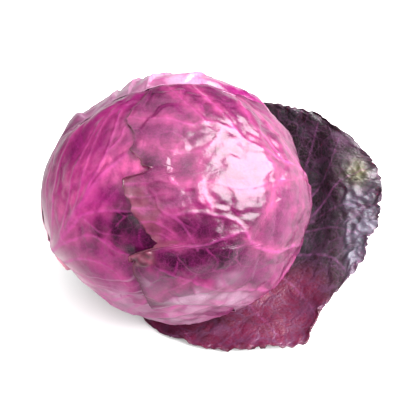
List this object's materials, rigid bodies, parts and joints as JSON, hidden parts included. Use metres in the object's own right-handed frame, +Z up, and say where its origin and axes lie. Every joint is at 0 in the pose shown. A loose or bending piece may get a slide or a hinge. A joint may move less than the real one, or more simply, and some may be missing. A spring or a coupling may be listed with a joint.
{
  "type": "cabbage head",
  "caption": "Red cabbage head of tightly wrapped, ribbed leaves, lying on its side on its own loosened outer leaf with a ruffled rim.",
  "frame": {"origin": "on the resting surface, under the middle of the head", "axes": "+Z up, -Y towards the viewer of the picture, +X towards the loosened leaf's free tip; the cut stem points to -X and down"},
  "size_m": [0.2326, 0.1905, 0.1616],
  "materials": {
    "inner_leaves": "waxy magenta cabbage leaf, the firm inside of the head",
    "stem": "cut cabbage stem, cream and fibrous",
    "wrapped_leaf": "glossy magenta-purple cabbage leaf with paler ribs",
    "front_leaf": "glossy magenta cabbage leaf with pink veins and a dry torn margin",
    "loose_leaf": "dark maroon outer leaf with a blue-grey waxy bloom and a crumpled rim"
  },
  "bodies": {
    "root": {"inner_head": "inner_leaves", "stem": "stem", "leaf_back_lower": "wrapped_leaf", "leaf_bottom": "wrapped_leaf", "leaf_back_upper": "wrapped_leaf", "leaf_left": "wrapped_leaf", "leaf_ribbed": "wrapped_leaf", "leaf_front": "front_leaf", "leaf_top": "wrapped_leaf", "leaf_loose": "loose_leaf"}
  },
  "joints": []
}
